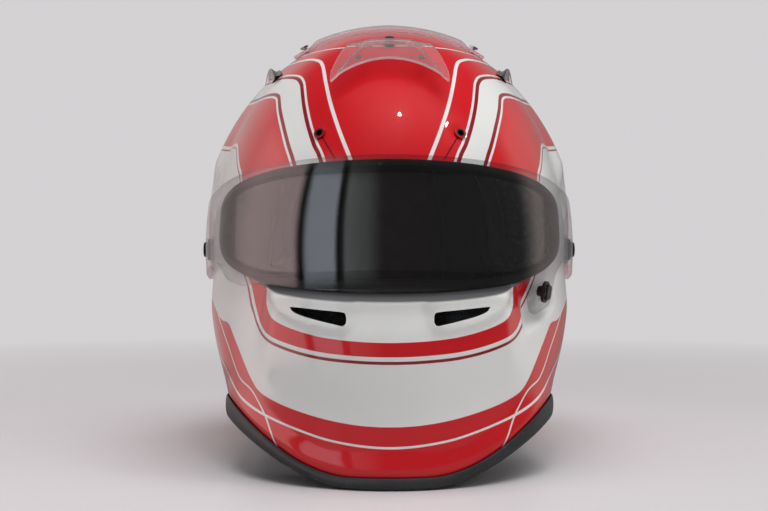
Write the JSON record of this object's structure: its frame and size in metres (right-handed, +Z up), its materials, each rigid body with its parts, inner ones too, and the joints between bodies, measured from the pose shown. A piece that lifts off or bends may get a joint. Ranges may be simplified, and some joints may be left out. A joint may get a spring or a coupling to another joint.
{
  "type": "full-face racing helmet",
  "caption": "Full-face car racing helmet with painted shell, hinged clear visor, foam and cloth lining, chin strap, clear air deflectors and threaded restraint anchors.",
  "frame": {"origin": "on the table under the middle of the shell's length and width", "axes": "+Z up, the wearer faces -Y, +X towards the wearer's left"},
  "size_m": [0.258, 0.33, 0.2855],
  "materials": {
    "shell_paint": "red, white and dark pinstripes under clear lacquer over a composite shell",
    "energy_foam": "expanded foam, black",
    "lining_cloth": "brushed flame resistant knit over foam",
    "black_rubber": "satin moulded rubber",
    "visor_clear": "light smoke polycarbonate, polished",
    "clear_plastic": "clear moulded polycarbonate",
    "black_metal": "black anodised",
    "black_plastic": "satin black nylon",
    "grey_rubber": "soft grey rubber",
    "steel": "turned stainless steel",
    "black_mesh": "fine moulded mesh",
    "webbing": "woven aramid webbing"
  },
  "bodies": {
    "helmet": {"outer_shell": "shell_paint", "crown_foam": "energy_foam", "chin_foam": "energy_foam", "crown_liner": "lining_cloth", "cheek_pad_left": "lining_cloth", "cheek_pad_right": "lining_cloth", "neck_roll": "lining_cloth", "eyeport_gasket": "black_rubber", "bottom_edge_trim": "black_rubber", "pivot_screw_left": "black_metal", "pivot_screw_right": "black_metal", "pivot_washer_left": "steel", "pivot_washer_right": "steel", "pivot_insert_left": "steel", "pivot_insert_right": "steel", "front_deflector": "clear_plastic", "deflector_bumpers": "grey_rubber", "deflector_foot": "grey_rubber", "deflector_screw": "steel", "rear_spoiler": "clear_plastic", "spoiler_screws": "steel", "side_strake_left": "clear_plastic", "side_strake_right": "clear_plastic", "forehead_port_left": "black_rubber", "forehead_port_right": "black_rubber", "chin_vent_mesh_left": "black_mesh", "chin_vent_mesh_right": "black_mesh", "rear_vent_mesh_left": "black_mesh", "rear_vent_mesh_right": "black_mesh", "restraint_anchor_left": "steel", "restraint_anchor_right": "steel", "chin_strap_left": "webbing", "chin_strap_right": "webbing", "strap_d_rings": "steel", "strap_snap": "black_plastic", "strap_rivet_left": "steel", "strap_rivet_right": "steel"},
    "visor": {"visor": "visor_clear", "visor_inner_pane": "visor_clear", "pivot_bush_left": "black_plastic", "pivot_bush_right": "black_plastic", "lock_bezel": "black_plastic", "lock_spring": "steel"},
    "lock_button": {"lock_button": "black_plastic"}
  },
  "joints": [
    {"name": "visor_hinge", "type": "hinge", "parent": "helmet", "child": "visor", "pos_m": [0, -0.005, 0.133], "axis": [-1, 0, 0], "range_deg": [0, 33]},
    {"name": "lock_button_press", "type": "slide", "parent": "visor", "child": "lock_button", "axis": [-0.8149, 0.5616, 0.1432], "range_m": [0, 0.0015], "stiffness_N_per_m": 800, "springref_m": -0.001, "deforming": ["lock_spring"]}
  ]
}
